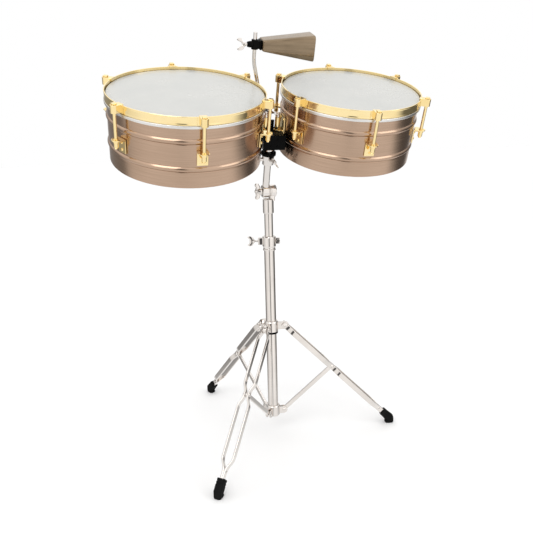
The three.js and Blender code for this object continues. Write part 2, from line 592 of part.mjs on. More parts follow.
// The clamp on the bell's heel: a block bored for the rod, with a boss for the wing bolt.
const bellBoltZ = (BELL_CLAMP.bottom + BELL_CLAMP.top) / 2;
function bellClamp() {
  const { left, bottom, top, half, bossRadius, bossLength } = BELL_CLAMP;
  const body = block(left, BELL.heelX - GAP, BELL_Y - half, BELL_Y + half, bottom, top);
  const boss = barX(bossRadius, left - bossLength, left + 1, 12).translate(0, BELL_Y, bellBoltZ);
  const rodBore = bar(BELL_ROD.radius + GAP, bottom - 5, top + 5, 12).translate(BEND.x, BELL_Y, 0);
  const thread = barX(PIN_R + GAP, left - 10, BEND.x, 12).translate(0, BELL_Y, bellBoltZ);
  return cut(join(body, boss), rodBore, thread);
}

const rodScrew = group("bell_rod_screw_turn", drums, holderMiddle.x, BELL_Y, holderMiddle.z);
rodScrew.rotation.y = Math.PI / 2;
piece("bell_rod_wing_screw", rodScrew, wing({ start: 19, span: 24, tall: 12, shank: 12 }), CHROME);

piece("cowbell_rod", drums, bellRod(), CHROME);
piece("cowbell", drums, cowbell(), BRONZE);
piece("cowbell_clamp", drums, bellClamp(), BLACK);
const bellTurn = group("bell_turn", drums, BEND.x, BELL_Y, bellBoltZ);
const bellBolt = group("bell_bolt_turn", bellTurn);
bellBolt.rotation.y = -Math.PI / 2;
piece("cowbell_wing_bolt", bellBolt,
  wing({ start: 24, span: 30, tall: 20, shank: 15, hub: 8 }), CHROME);

// ---------------------------------------------------------------- frame: origin under the middle
const whole = new THREE.Group();
whole.add(stand);
whole.updateMatrixWorld(true);
const bounds = new THREE.Box3().setFromObject(stand, true);
stand.position.set(-(bounds.min.x + bounds.max.x) / 2, -(bounds.min.y + bounds.max.y) / 2, -bounds.min.z);

export default whole;
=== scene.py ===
"""Timbales on a folding stand: smooth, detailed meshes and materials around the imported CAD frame. Metres."""
import json
import math

import bmesh
import bpy
from mathutils import Matrix, Vector


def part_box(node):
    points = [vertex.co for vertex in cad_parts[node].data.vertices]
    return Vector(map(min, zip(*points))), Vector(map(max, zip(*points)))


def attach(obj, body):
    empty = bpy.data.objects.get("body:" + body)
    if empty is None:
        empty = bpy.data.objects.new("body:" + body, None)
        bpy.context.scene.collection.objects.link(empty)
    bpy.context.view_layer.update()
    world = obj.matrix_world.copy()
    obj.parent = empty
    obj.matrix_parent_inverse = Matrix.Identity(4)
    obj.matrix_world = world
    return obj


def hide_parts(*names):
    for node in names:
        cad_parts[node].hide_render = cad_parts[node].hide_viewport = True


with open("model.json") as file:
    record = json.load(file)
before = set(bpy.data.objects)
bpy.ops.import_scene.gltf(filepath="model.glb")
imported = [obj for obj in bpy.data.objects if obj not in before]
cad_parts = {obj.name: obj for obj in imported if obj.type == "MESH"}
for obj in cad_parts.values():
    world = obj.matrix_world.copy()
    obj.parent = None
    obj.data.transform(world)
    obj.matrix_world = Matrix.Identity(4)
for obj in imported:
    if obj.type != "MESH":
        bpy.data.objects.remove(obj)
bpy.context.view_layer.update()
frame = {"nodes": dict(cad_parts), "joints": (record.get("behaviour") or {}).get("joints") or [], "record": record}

MM = 0.001
UP = Vector((0, 0, 1))
EAST = Vector((1, 0, 0))
NODES = frame["nodes"]
JOINTS = {joint["name"]: joint for joint in frame["joints"]}
BODIES = frame["record"]["behaviour"]["bodies"]
BODY_OF = {node: body for body, members in BODIES.items() for node in members}
GAP = 0.4 * MM
SCREW_BORE = 3.4 * MM
SIDES = ("left", "right")
RODS = range(1, 7)
LEGS = range(1, 4)


# ---- places
def axes(origin, z, x=EAST):
    """The matrix of a place: its origin, its Z along z, and its X as near to x as it can be."""
    z = Vector(z).normalized()
    y = z.cross(Vector(x)).normalized()
    matrix = Matrix((y.cross(z), y, z)).transposed().to_4x4()
    matrix.translation = Vector(origin)
    return matrix


def extent(node, place):
    """The lowest and highest corner of a CAD node, measured along a place's own axes."""
    inverse = place.inverted()
    points = [inverse @ vertex.co for vertex in NODES[node].data.vertices]
    low = Vector([min(p[i] for p in points) for i in range(3)])
    high = Vector([max(p[i] for p in points) for i in range(3)])
    return low, high


def rotation(degrees, axis):
    return Matrix.Rotation(math.radians(degrees), 4, axis)


TOWARD_X = rotation(90, "Y")
TOWARD_PLAYER = rotation(90, "X")
tube_low, tube_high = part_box("outer_tube")
tube_middle = (tube_low + tube_high) / 2
STAND = Matrix.Translation((tube_middle.x, tube_middle.y, 0))
LEAN = Vector(JOINTS["drums_lift"]["axis"])
HEAD = axes(JOINTS["tilt_hinge"]["pos_m"], LEAN)


def joint_at(name):
    return Vector(JOINTS[name]["pos_m"])


def joint_place(name, x=EAST):
    joint = JOINTS[name]
    return axes(joint["pos_m"], joint["axis"], x)


# ---- meshes
def fillet(points, radius, steps=3, closed=True):
    """Rounds the corners of an outline. A point may be (a, b, own radius)."""
    made = []
    count = len(points)
    for i, point in enumerate(points):
        here = Vector(point[:2])
        own = point[2] if len(point) > 2 else radius
        ends = not closed and i in (0, count - 1)
        before = Vector(points[i - 1][:2]) - here
        after = Vector(points[(i + 1) % count][:2]) - here
        reach = min(own, before.length * 0.48, after.length * 0.48)
        if ends or own <= 0 or reach < 1e-6:
            made.append(tuple(here))
            continue
        start = here + before.normalized() * reach
        stop = here + after.normalized() * reach
        for step in range(steps + 1):
            t = step / steps
            made.append(tuple(start * (1 - t) ** 2 + here * 2 * t * (1 - t) + stop * t**2))
    return made


def rectangle(x0, x1, y0, y1):
    return [(x0, y0), (x1, y0), (x1, y1), (x0, y1)]


def circle(steps):
    """The angles of a full circle in equal steps."""
    return [2 * math.pi * i / steps for i in range(steps)]


def arc(radius, start, stop, steps, x=0.0, y=0.0):
    """Points of a circular arc between two angles in degrees."""
    angles = [math.radians(start + (stop - start) * i / steps) for i in range(steps + 1)]
    return [(x + radius * math.cos(a), y + radius * math.sin(a)) for a in angles]


def turned(profile, steps):
    """A solid turned about Z. The profile of (radius, height) is closed, or starts and ends on the axis."""
    mesh = bmesh.new()
    rings = []
    for radius, height in profile:
        if radius < 1e-7:
            rings.append([mesh.verts.new((0, 0, height))])
            continue
        points = [(radius * math.cos(a), radius * math.sin(a), height) for a in circle(steps)]
        rings.append([mesh.verts.new(point) for point in points])
    on_axis = len(rings[0]) == 1 or len(rings[-1]) == 1
    pairs = list(zip(rings, rings[1:])) + ([] if on_axis else [(rings[-1], rings[0])])
    for low, high in pairs:
        for i in range(steps):
            j = (i + 1) % steps
            corners = [low[i % len(low)], low[j % len(low)], high[j % len(high)], high[i % len(high)]]
            if len(set(corners)) > 2:
                mesh.faces.new(list(dict.fromkeys(corners)))
    bmesh.ops.recalc_face_normals(mesh, faces=mesh.faces)
    return mesh


def lathe(outline, edge, steps):
    """A solid turned about Z, with the corners of its outline rounded."""
    return turned(fillet(outline, edge), steps)


def bar(radius, low, high, steps, edge, x=0.0, y=0.0):
    """A round bar along Z with rounded edges."""
    mesh = lathe([(0, low, 0), (radius, low), (radius, high), (0, high, 0)], edge, steps)
    return shifted(mesh, x, y)


def bore(radius, low, high, steps=20, x=0.0, y=0.0):
    """A round cutter or pin along Z with sharp edges."""
    return bar(radius, low, high, steps, 0, x, y)


def pipe(outer, inner, low, high, steps, edge):
    return turned(fillet(rectangle(inner, outer, low, high), edge, 2), steps)


def slab(outline, low, high, edge, segments=2):
    """A plate with an X-Y outline, from low to high along Z, with its rims rounded."""
    mesh = bmesh.new()
    bottom = [mesh.verts.new((x, y, low)) for x, y in outline]
    top = [mesh.verts.new((x, y, high)) for x, y in outline]
    mesh.faces.new(bottom)
    mesh.faces.new(top)
    count = len(outline)
    for i in range(count):
        j = (i + 1) % count
        mesh.faces.new([bottom[i], bottom[j], top[j], top[i]])
    bmesh.ops.recalc_face_normals(mesh, faces=mesh.faces)
    if edge > 0:
        rims = [e for e in mesh.edges if abs(e.verts[0].co.z - e.verts[1].co.z) < 1e-9]
        bmesh.ops.bevel(mesh, geom=rims, offset=edge, segments=segments, profile=0.5, affect="EDGES")
    bmesh.ops.triangulate(mesh, faces=[face for face in mesh.faces if len(face.verts) > 4])
    return mesh


def block(x0, x1, y0, y1, z0, z1, edge=0.8 * MM, corner=1.2 * MM):
    return slab(fillet(rectangle(x0, x1, y0, y1), corner), z0, z1, edge)


def arc_block(r0, r1, half_angle, z0, z1, edge):
    """A block that hugs a circle about Z, centred on +X, between two radii."""
    outline = arc(r1, -half_angle, half_angle, 8) + arc(r0, half_angle, -half_angle, 8)
    return slab(outline, z0, z1, edge)


def moved(mesh, matrix):
    bmesh.ops.transform(mesh, matrix=matrix, verts=mesh.verts)
    return mesh


def spun(mesh, angle, axis="Z"):
    return moved(mesh, rotation(angle, axis))


def shifted(mesh, x=0.0, y=0.0, z=0.0):
    return moved(mesh, Matrix.Translation((x, y, z)))


def loft(sections):
    """A closed surface through rings of points of equal count, with its two end rings filled."""
    mesh = bmesh.new()
    rings = [[mesh.verts.new(point) for point in ring] for ring in sections]
    count = len(rings[0])
    for low, high in zip(rings, rings[1:]):
        for i in range(count):
            j = (i + 1) % count
            mesh.faces.new([low[i], low[j], high[j], high[i]])
    mesh.faces.new(rings[0])
    mesh.faces.new(rings[-1])
    bmesh.ops.recalc_face_normals(mesh, faces=mesh.faces)
    return mesh


def sweep(points, radius, steps):
    """A round bar along a smooth path of points, closed at both ends."""
    path = [Vector(p) for p in points]
    ahead, behind = path[1:] + path[-1:], path[:1] + path[:-1]
    tangents = [(far - near).normalized() for far, near in zip(ahead, behind)]
    side = tangents[0].orthogonal().normalized()
    rings = []
    for point, tangent in zip(path, tangents):
        side = (side - tangent * side.dot(tangent)).normalized()
        other = tangent.cross(side)
        rings.append([point + (side * math.cos(a) + other * math.sin(a)) * radius for a in circle(steps)])
    return loft(rings)


def new_object(name, data):
    made = bpy.data.objects.new(name, data)
    bpy.context.scene.collection.objects.link(made)
    return made


def as_object(mesh, name="part"):
    data = bpy.data.meshes.new(name)
    mesh.to_mesh(data)
    mesh.free()
    return new_object(name, data)


def combined(parts, cutters=()):
    """One mesh made of the union of closed meshes, less the cutters."""
    base = as_object(parts[0])
    tools = [(as_object(p), "UNION") for p in parts[1:]] + [(as_object(c), "DIFFERENCE") for c in cutters]
    for tool, operation in tools:
        modifier = base.modifiers.new("join", "BOOLEAN")
        modifier.operation = operation
        modifier.object = tool
        modifier.solver = "MANIFOLD"
    result = bmesh.new()
    result.from_object(base, bpy.context.evaluated_depsgraph_get())
    for spent in [base] + [tool for tool, _ in tools]:
        bpy.data.meshes.remove(spent.data)
    return result


def piece(name, mesh, place, material, body, node=None, crease=32):
    """Puts a mesh into the scene as a named piece that rides on a body and stands for a CAD node."""
    limit = math.radians(crease)
    for face in mesh.faces:
        face.smooth = True
    for edge in mesh.edges:
        edge.smooth = edge.calc_face_angle(0) < limit
    made = as_object(mesh, name)
    made.matrix_world = place
    made.data.materials.append(MATERIALS[material])
    normals = made.modifiers.new("normals", "WEIGHTED_NORMAL")
    normals.keep_sharp = True
    normals.weight = 75
    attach(made, body)
    if node:
        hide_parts(node)


def stand_in(node, mesh, place, material, crease=32):
    """A piece that takes the name of the CAD node it stands for."""
    piece(f"{node}_look", mesh, place, material, BODY_OF[node], node, crease=crease)


# ---- materials
def wire(tree, node, inputs):
    """Sets a node's inputs, each to a value or to another node's output."""
    for name, value in inputs.items():
        if isinstance(value, bpy.types.NodeSocket):
            tree.links.new(value, node.inputs[name])
        else:
            node.inputs[name].default_value = value
    return node


def add(tree, kind, inputs):
    return wire(tree, tree.nodes.new(f"ShaderNode{kind}"), inputs)


def new_material(name, inputs):
    """A material with the given shader inputs. A function stands for what the material's nodes work out."""
    material = bpy.data.materials.new(name)
    material.use_nodes = True
    tree = material.node_tree
    made = {key: value(tree) if callable(value) else value for key, value in inputs.items()}
    wire(tree, tree.nodes["Principled BSDF"], made)
    return material


def mapped(tree, stretch):
    """An object's own coordinates, stretched along its axes."""
    place = add(tree, "TexCoord", {}).outputs["Object"]
    return add(tree, "Mapping", {"Scale": stretch, "Vector": place}).outputs["Vector"]


def noise(tree, scale, detail, stretch=(1, 1, 1)):
    inputs = {"Scale": scale, "Detail": detail, "Vector": mapped(tree, stretch)}
    return add(tree, "TexNoise", inputs).outputs["Fac"]


def remap(tree, value, low, high, start=0.3, stop=0.7):
    inputs = {"From Min": start, "From Max": stop, "To Min": low, "To Max": high, "Value": value}
    return add(tree, "MapRange", inputs).outputs["Result"]


def ramp(tree, value, dark, light):
    node = add(tree, "ValToRGB", {"Fac": value})
    for element, position, color in zip(node.color_ramp.elements, (0.3, 0.7), (dark, light)):
        element.position = position
        element.color = (*color, 1)
    return node.outputs["Color"]


def bump(tree, value, strength, distance):
    inputs = {"Strength": strength, "Distance": distance, "Height": value}
    return add(tree, "Bump", inputs).outputs["Normal"]


def calculate(tree, operation, first, second):
    node = add(tree, "Math", {0: first, 1: second})
    node.operation = operation
    return node.outputs["Value"]


def plated(name, dark, light, smooth, rough):
    """Polished plating: a slow colour drift, uneven polish and fine wiping marks."""
    return new_material(name, {
        "Metallic": 1,
        "Base Color": lambda tree: ramp(tree, noise(tree, 14, 3), dark, light),
        "Roughness": lambda tree: remap(tree, noise(tree, 90, 8, (1, 1, 5)), smooth, rough),
        "Normal": lambda tree: bump(tree, noise(tree, 60, 2), 0.04, 0.0004),
    })


def around(tree):
    """Noise coordinates that wrap round a turned piece: long round its axis and fine along it."""
    place = add(tree, "TexCoord", {}).outputs["Object"]
    split = add(tree, "SeparateXYZ", {"Vector": place})
    angle = calculate(tree, "ARCTAN2", split.outputs["Y"], split.outputs["X"])
    inputs = {"X": calculate(tree, "MULTIPLY", angle, 1.2),
              "Y": calculate(tree, "MULTIPLY", split.outputs["Z"], 380)}
    return add(tree, "CombineXYZ", inputs).outputs["Vector"]


def lengthwise(tree):
    """Noise coordinates for a piece brushed along X."""
    return mapped(tree, (4, 90, 90))


def brushed(name, dark, light, place, turn, rough):
    """Brushed, darkened nickel: fine lines along the brushing, with a slow change of tone."""
    def lines(tree):
        inputs = {"Scale": 1, "Detail": 6, "Roughness": 0.7, "Vector": place(tree)}
        return add(tree, "TexNoise", inputs).outputs["Fac"]

    def tone(tree):
        mix = tree.nodes.new("ShaderNodeMix")
        mix.data_type = "FLOAT"
        wire(tree, mix, {"Factor": 0.4, 2: lines(tree), 3: noise(tree, 7, 3)})
        return ramp(tree, mix.outputs[0], dark, light)

    return new_material(name, {
        "Metallic": 1,
        "Anisotropic": 0.7,
        "Anisotropic Rotation": turn,
        "Base Color": tone,
        "Roughness": lambda tree: remap(tree, lines(tree), *rough),
        "Normal": lambda tree: bump(tree, lines(tree), 0.12, 0.0003),
    })


def dull(name, dark, light, rough, grain, height, gloss, tone_scale=25, strength=0.3):
    """Rubber, paint or film: a small change of tone, uneven gloss and a fine grain."""
    tone = (tone_scale, 5)
    return new_material(name, {
        "Specular IOR Level": gloss,
        "Base Color": lambda tree: ramp(tree, noise(tree, *tone), dark, light),
        "Roughness": lambda tree: remap(tree, noise(tree, *tone), *rough),
        "Normal": lambda tree: bump(tree, noise(tree, *grain), strength, height),
    })


SOOT = ((0.003, 0.003, 0.003), (0.006, 0.006, 0.006))
RUBBER = ((0.004, 0.004, 0.004), (0.012, 0.012, 0.012))
FILM = ((0.47, 0.475, 0.455), (0.53, 0.53, 0.505))
FLOOR = ((0.9, 0.9, 0.9), (0.92, 0.92, 0.92))
MATERIALS = {name: make(name, *look) for name, make, *look in (
    ("chrome", plated, (0.71, 0.67, 0.635), (0.79, 0.75, 0.715), 0.03, 0.09),
    ("gold", plated, (0.93, 0.72, 0.34), (0.98, 0.80, 0.44), 0.05, 0.12),
    ("shell", brushed, (0.42, 0.29, 0.205), (0.55, 0.39, 0.285), around, 0.25, (0.16, 0.26)),
    ("bell", brushed, (0.155, 0.114, 0.072), (0.39, 0.293, 0.195), lengthwise, 0.0, (0.13, 0.24)),
    ("black", dull, *SOOT, (0.2, 0.32), (180, 3), 0.0002, 0.03),
    ("rubber", dull, *RUBBER, (0.5, 0.7), (500, 3), 0.0003, 0.03),
    ("drum_film", dull, *FILM, (0.2, 0.3), (700, 2), 0.0001, 0.55, 9, 0.03),
    ("flesh_hoop", plated, (0.72, 0.71, 0.69), (0.82, 0.81, 0.79), 0.25, 0.4),
)}


# ---- drums
BEAD = {"height": 3 * MM, "width": 11 * MM, "groove": 0.8 * MM}
SHELL_WALL = 1.5 * MM
BEAD_HEIGHTS = (47 * MM, 113.5 * MM)
CLAW_TALL = 19 * MM


def round_node(node, place):
    """The centre, the radius and the two heights of a turned CAD node, along a place's axes."""
    low, high = extent(node, place)
    return (low.x + high.x) / 2, (low.y + high.y) / 2, (high.y - low.y) / 2, low.z, high.z


def shell_profile(radius, low, high):
    """The line of a shell, out and back in: an edge rolled in below, two beads, a bearing edge on top."""
    outer = [(radius - 6 * MM, low), *arc(4 * MM, -90, 0, 5, radius - 4 * MM, low + 4 * MM)]
    for at in BEAD_HEIGHTS:
        half = BEAD["width"] / 2
        outer.append((radius, low + at - half - 3 * MM))
        outer.append((radius - BEAD["groove"], low + at - half - 0.8 * MM))
        for step in range(9):
            t = step / 8
            rise = math.sin(math.pi * t) ** 0.8 * BEAD["height"]
            outer.append((radius + rise, low + at - half + BEAD["width"] * t))
        outer.append((radius - BEAD["groove"], low + at + half + 0.8 * MM))
        outer.append((radius, low + at + half + 3 * MM))
    outer += [(radius, high - 4 * MM), (radius - 1.2 * MM, high - 1 * MM), (radius - 4 * MM, high)]
    inner = [(r - SHELL_WALL, z) for r, z in outer[2:-2]]
    start = [(radius - 6 * MM, low + SHELL_WALL)]
    return outer + [(radius - 4.6 * MM, high - SHELL_WALL)] + inner[::-1] + start


def hoop_profile(radius, low, high):
    """A flat counter hoop: a band with round edges, a little thinner in its middle."""
    inside = radius - 2.9 * MM
    return fillet([
        (inside, low), (radius, low), (radius, low + 3 * MM), (radius - 0.5 * MM, low + 4.5 * MM),
        (radius - 0.5 * MM, high - 4 * MM), (radius, high - 2.6 * MM), (radius, high), (inside, high),
    ], 1.1 * MM, 3)


def claw(hoop_radius, rod_radius, low, high, hoop_low, hoop_high):
    """A hoop claw: a barrel for the rod, a saddle on the hoop and a lip over its edge. X is outward."""
    half, root = 9 * MM, hoop_radius - 0.5 * MM
    barrel = arc(half, -90, 90, 12, rod_radius) + [(root, half), (root, -half)]
    spread = math.degrees(13.5 * MM / hoop_radius)
    lip = math.degrees(9 * MM / hoop_radius)
    inside = hoop_radius - 5.4 * MM
    near, far = hoop_radius - 0.3 * MM, hoop_radius + 2.4 * MM
    return [
        slab(barrel, low, high, 1.0 * MM, 3),
        arc_block(near, far, spread, hoop_low + 2.5 * MM, high - 1.2 * MM, 0.8 * MM),
        arc_block(inside, hoop_radius + 1 * MM, lip, hoop_high - 0.5 * MM, high, 0.8 * MM),
        arc_block(inside, inside + 2.3 * MM, lip, hoop_high - 5 * MM, high - 0.5 * MM, 0.6 * MM),
    ]


def tension_rod(low, claw_top, top):
    """A rod with a thread below, a washer, and a square head with rounded edges."""
    radius = 4 * MM
    pitch = 1.4 * MM
    threaded = [(radius - (0.45 * MM if i % 2 else 0), low + 1 * MM + pitch / 2 * i) for i in range(28)]
    profile = [(0, low), (radius - 1 * MM, low), *threaded, (radius, threaded[-1][1] + pitch)]
    shaft = turned(profile + [(radius, top - 2 * MM), (0, top - 2 * MM)], 24)
    washer = bar(6.8 * MM, claw_top + 0.3 * MM, claw_top + 1.2 * MM, 32, 0.3 * MM)
    side = 5.4 * MM
    square = fillet(rectangle(-side, side, -side, side), 1.4 * MM)
    return combined([shaft, washer, slab(square, claw_top + 1 * MM, top, 0.9 * MM, 3)])


def screw_head(radius, height):
    """A domed screw head on Z = 0 with a cross slot."""
    dome = [(0, -1 * MM), (radius, -1 * MM), (radius, 0.3 * height)]
    dome += [(radius * math.cos(a), height * (0.3 + 0.7 * math.sin(a))) for a in (0.4, 0.8, 1.2)]
    head = turned(dome + [(0, height)], 20)
    reach, half = 0.75 * radius, 0.5 * MM
    slots = [block(-reach, reach, -half, half, 0.45 * height, 2 * height, 0, 0.1 * MM)]
    slots.append(spun(slots[0].copy(), 90))
    return combined([head], slots)


def lug(low, high, rod_x):
    """A lug: a plate on the shell that bends out into a ledge, a flanged nut and two screws. X is outward."""
    thick, face, half = 3 * MM, 0.7 * MM, 13 * MM
    under = high - thick
    bend = fillet([
        (face, low), (face + thick, low), (face + thick, under, 2 * MM), (rod_x + 1 * MM, under),
        (rod_x + 1 * MM, high), (face, high, 4.5 * MM),
    ], 0.6 * MM, 4)
    plate = moved(slab(bend, -half, half, 0.7 * MM), TOWARD_PLAYER)
    wide, root = 11 * MM, rod_x - 1 * MM
    end = arc(wide, -90, 90, 16, rod_x) + [(root, wide), (root, -wide)]
    soft = 0.3 * MM
    nut = lathe([
        (0, under - 16 * MM, 0), (5.8 * MM, under - 16 * MM), (5.8 * MM, under - 5.5 * MM, soft),
        (7.2 * MM, under - 4.5 * MM, soft), (7.2 * MM, under + 0.2 * MM, soft), (0, under + 0.2 * MM, 0),
    ], 1 * MM, 32)
    collar = bar(6 * MM, high - 0.5 * MM, high + 1.6 * MM, 32, 0.5 * MM, rod_x)
    heads = [shifted(moved(screw_head(3.4 * MM, 2.2 * MM), TOWARD_X), face + thick, 0, low + up)
             for up in (8 * MM, 25 * MM)]
    return combined([plate, slab(end, under, high, 0.7 * MM), shifted(nut, rod_x), collar, *heads])


def build_drum(side):
    x, y, bead_radius, low, high = round_node(f"{side}_shell", HEAD)
    radius = bead_radius - BEAD["height"]
    drum = HEAD @ Matrix.Translation((x, y, 0))
    stand_in(f"{side}_shell", turned(shell_profile(radius, low, high), 192), drum, "shell")

    _, _, _, skirt_low, film_top = round_node(f"{side}_head", HEAD)
    hoop_low = skirt_low + 8 * MM
    claw_high = extent(f"{side}_hoop", HEAD)[1].z
    claw_low = claw_high - CLAW_TALL
    rim_radius = radius + 4.8 * MM
    rim_high = film_top + 6.9 * MM
    skirt = skirt_low + 6 * MM
    film = [(0, film_top - 0.9 * MM), (radius - 5 * MM, film_top - 0.9 * MM),
            (radius - 1 * MM, film_top - 1.0 * MM), (radius + 0.5 * MM, film_top - 3 * MM),
            (radius + 0.5 * MM, skirt), (radius + 1.1 * MM, skirt), (radius + 1.1 * MM, film_top - 2.6 * MM),
            (radius - 0.4 * MM, film_top - 0.3 * MM), (radius - 5 * MM, film_top - 0.1 * MM), (0, film_top)]
    stand_in(f"{side}_head", turned(film, 160), drum, "drum_film", crease=50)
    near, far, flesh_top = radius + GAP, radius + 5.6 * MM, hoop_low - GAP
    flesh = fillet(rectangle(near, far, skirt_low, flesh_top), 2.2 * MM, 4)
    piece(f"{side}_flesh_hoop", turned(flesh, 160), drum, "flesh_hoop", BODY_OF[f"{side}_head"])

    parts = [turned(hoop_profile(rim_radius, hoop_low, rim_high), 192)]
    for k in RODS:
        at = drum.inverted() @ joint_at(f"{side}_rod_{k}_turn")
        angle = math.degrees(math.atan2(at.y, at.x))
        rod_radius = math.hypot(at.x, at.y)
        pieces = claw(rim_radius, rod_radius, claw_low, claw_high, hoop_low, rim_high)
        parts += [spun(mesh, angle) for mesh in pieces]
        spoke = drum @ rotation(angle, "Z")
        rod_low, rod_high = extent(f"{side}_rod_{k}", drum)
        rod = tension_rod(rod_low.z, claw_high, rod_high.z)
        stand_in(f"{side}_rod_{k}", rod, spoke @ Matrix.Translation((rod_radius, 0, 0)), "gold")
        plate_low, plate_high = extent(f"{side}_lug_{k}", spoke)
        bracket = lug(plate_low.z, plate_high.z, rod_radius - radius)
        stand_in(f"{side}_lug_{k}", bracket, spoke @ Matrix.Translation((radius, 0, 0)), "gold")
    stand_in(f"{side}_hoop", combined(parts), drum, "gold")


# ---- wing screws
# Half of a pair of ears: distance from the screw's axis, lower edge and upper edge, as shares of their size.
EARS = [(0, 0, 0.36), (0.2, 0, 0.38), (0.34, 0.02, 0.5), (0.5, 0.05, 0.8), (0.62, 0.1, 0.96), (0.75, 0.16, 1),
        (0.88, 0.26, 0.97), (0.96, 0.4, 0.88), (1, 0.6, 0.72)]


# Each wing screw: CAD node, joint, span, height, hub radius and hub length in mm, and what is special to it.
WING_SCREWS = [
    ("collar_wing_screw", "collar_screw_turn", (26, 13, 5.5, 7), {}),
    ("clamp_wing_bolt", "clamp_bolt_turn", (28, 18, 5.5, 7), {"web": 0.7}),
    ("tilter_wing_nut", "tilter_nut_turn", (44, 16, 9, 13), {"thick": 7 * MM, "foot": 4.4 * MM, "web": 1.0}),
    ("receiver_wing_bolt", "receiver_bolt_turn", (26, 15, 5.5, 7), {"turn": 34}),
    ("bell_rod_wing_screw", "bell_rod_screw_turn", (24, 12, 5.5, 7), {}),
    ("cowbell_wing_bolt", "bell_bolt_turn", (30, 20, 5.5, 8), {}),
    ("left_mount_wing_nut", "left_mount_nut_turn", (20, 12, 6.5, 7), {"foot": 4.4 * MM}),
    ("right_mount_wing_nut", "right_mount_nut_turn", (20, 12, 6.5, 7), {"foot": 4.4 * MM}),
]


def wings(span, tall, thick, start, web):
    """The two ears of a wing screw: one crowned body across the hub, thinner towards its ends."""
    rings = []
    for along, low, high in [(-a, low, high) for a, low, high in EARS[:0:-1]] + EARS:
        high = max(high, min(web, 1 - 0.3 * abs(along)))
        x, z = along * span / 2, start + (low + high) / 2 * tall
        rise, deep = (high - low) / 2 * tall, thick / 2 * (1 - 0.4 * along**2)
        angles = [math.radians(360 / 16 * i) for i in range(16)]
        rings.append([(x, deep * squared(math.cos(a)), z + rise * squared(math.sin(a))) for a in angles])
    return loft(rings)


def squared(value, power=0.75):
    """Fills out a sine or cosine, so that a circle becomes a round-cornered square."""
    return math.copysign(abs(value) ** power, value)


def wing_screw(node, joint, span, tall, hub_radius, hub, thick=4.4 * MM, turn=0, foot=0.0, web=0.0):
    """A wing screw on its joint's axis, with the CAD node's reach. The head is at the outer end."""
    place = joint_place(joint, UP if abs(Vector(JOINTS[joint]["axis"]).z) < 0.9 else EAST)
    place = place @ rotation(turn, "Z")
    low, high = extent(node, place)
    start = high.z - tall - hub * 0.3
    parts = [lathe([
        (0, start, 0), (hub_radius, start), (hub_radius, start + hub * 0.35),
        (hub_radius * 0.78, start + hub), (0, start + hub, 0),
    ], 0.9 * MM, 32), wings(span, tall, thick, start + hub * 0.3, web)]
    if low.z < start - 2 * MM:
        parts.append(bar(3 * MM, low.z, start + 0.5 * MM, 20, 0.5 * MM))
    cutters = [bore(foot, start - 5 * MM, high.z + 5 * MM, 24)] if foot else []
    stand_in(node, combined(parts, cutters), place, "chrome")


# ---- bracket between the drums
BLOCK = {"front": -22 * MM, "back": 45 * MM, "floor": 127 * MM, "roof": 166 * MM, "reach": 40 * MM}
STUD = {"x": 16 * MM, "y": 17 * MM, "radius": 4 * MM, "low": 170.8 * MM, "sleeve": 203 * MM, "high": 216 * MM}
POST_X = -7 * MM
POST_BORE = 9.9 * MM
ROD_BORE = 5.1 * MM


def build_bracket():
    """The black box between the drums, hollow behind, with bolts in front and a ring under it."""
    front, back, floor, roof, reach = BLOCK.values()
    body = BODY_OF["center_bracket"]
    hugs = []
    for side in SIDES:
        x, y, bead_radius, _, _ = round_node(f"{side}_shell", HEAD)
        hugs.append(bore(bead_radius + 1.7 * MM, floor - 20 * MM, roof + 20 * MM, 160, x, y))
    box = slab(rectangle(-reach, reach, front, back), floor, roof, 1.2 * MM, 3)
    hollow = block(-18 * MM, 18 * MM, front + 6 * MM, back + 5 * MM, floor + 6 * MM, roof - 6 * MM)
    bolts = []
    for x in (-9 * MM, 9 * MM):
        for z in (floor + 10 * MM, roof - 10 * MM):
            bolt = moved(bar(2.6 * MM, -1 * MM, 1.6 * MM, 6, 0.4 * MM), TOWARD_PLAYER)
            bolts.append(shifted(bolt, x, front, z))
    box = combined([combined([box], [*hugs, hollow]), *bolts])
    piece("bracket_box", box, HEAD, "black", body, "center_bracket")
    neck = pipe(11 * MM, POST_BORE, 112 * MM, floor - 0.3 * MM, 48, 0.5 * MM)
    piece("bracket_neck", shifted(neck, POST_X), HEAD, "chrome", body)
    ring = lathe(rectangle(11.4 * MM, 20 * MM, 106 * MM, 115.6 * MM), 2.4 * MM, 64)
    piece("bracket_ring", shifted(ring, POST_X), HEAD, "black", body)
    build_receiver(body)
    build_studs(body)
    build_bell_holder(body)
    for side in SIDES:
        build_mount_plate(side)


def build_receiver(body):
    """The tube that takes the post, with a boss for its wing bolt and a lobe on the left."""
    low = extent("center_bracket", HEAD)[0].z
    tube = shifted(lathe([
        (POST_BORE, low), (15 * MM, low), (15 * MM, low + 12 * MM), (16.6 * MM, low + 18 * MM),
        (16.6 * MM, 105.6 * MM), (POST_BORE, 105.6 * MM),
    ], 1 * MM, 48), POST_X)
    screw = HEAD.inverted() @ joint_place("receiver_bolt_turn")
    boss = moved(bar(7 * MM, 10.5 * MM, 28 * MM, 32, 0.8 * MM), screw)
    lobe = spun(moved(bar(5 * MM, 12 * MM, 22 * MM, 24, 0.8 * MM), TOWARD_PLAYER), -90)
    lobe = shifted(lobe, POST_X, 0, 94 * MM)
    bores = [moved(bore(SCREW_BORE, 0, 40 * MM), screw), bore(POST_BORE, low - 5 * MM, 110 * MM, 40, POST_X)]
    piece("bracket_receiver", combined([tube, boss, lobe], bores), HEAD, "chrome", body)


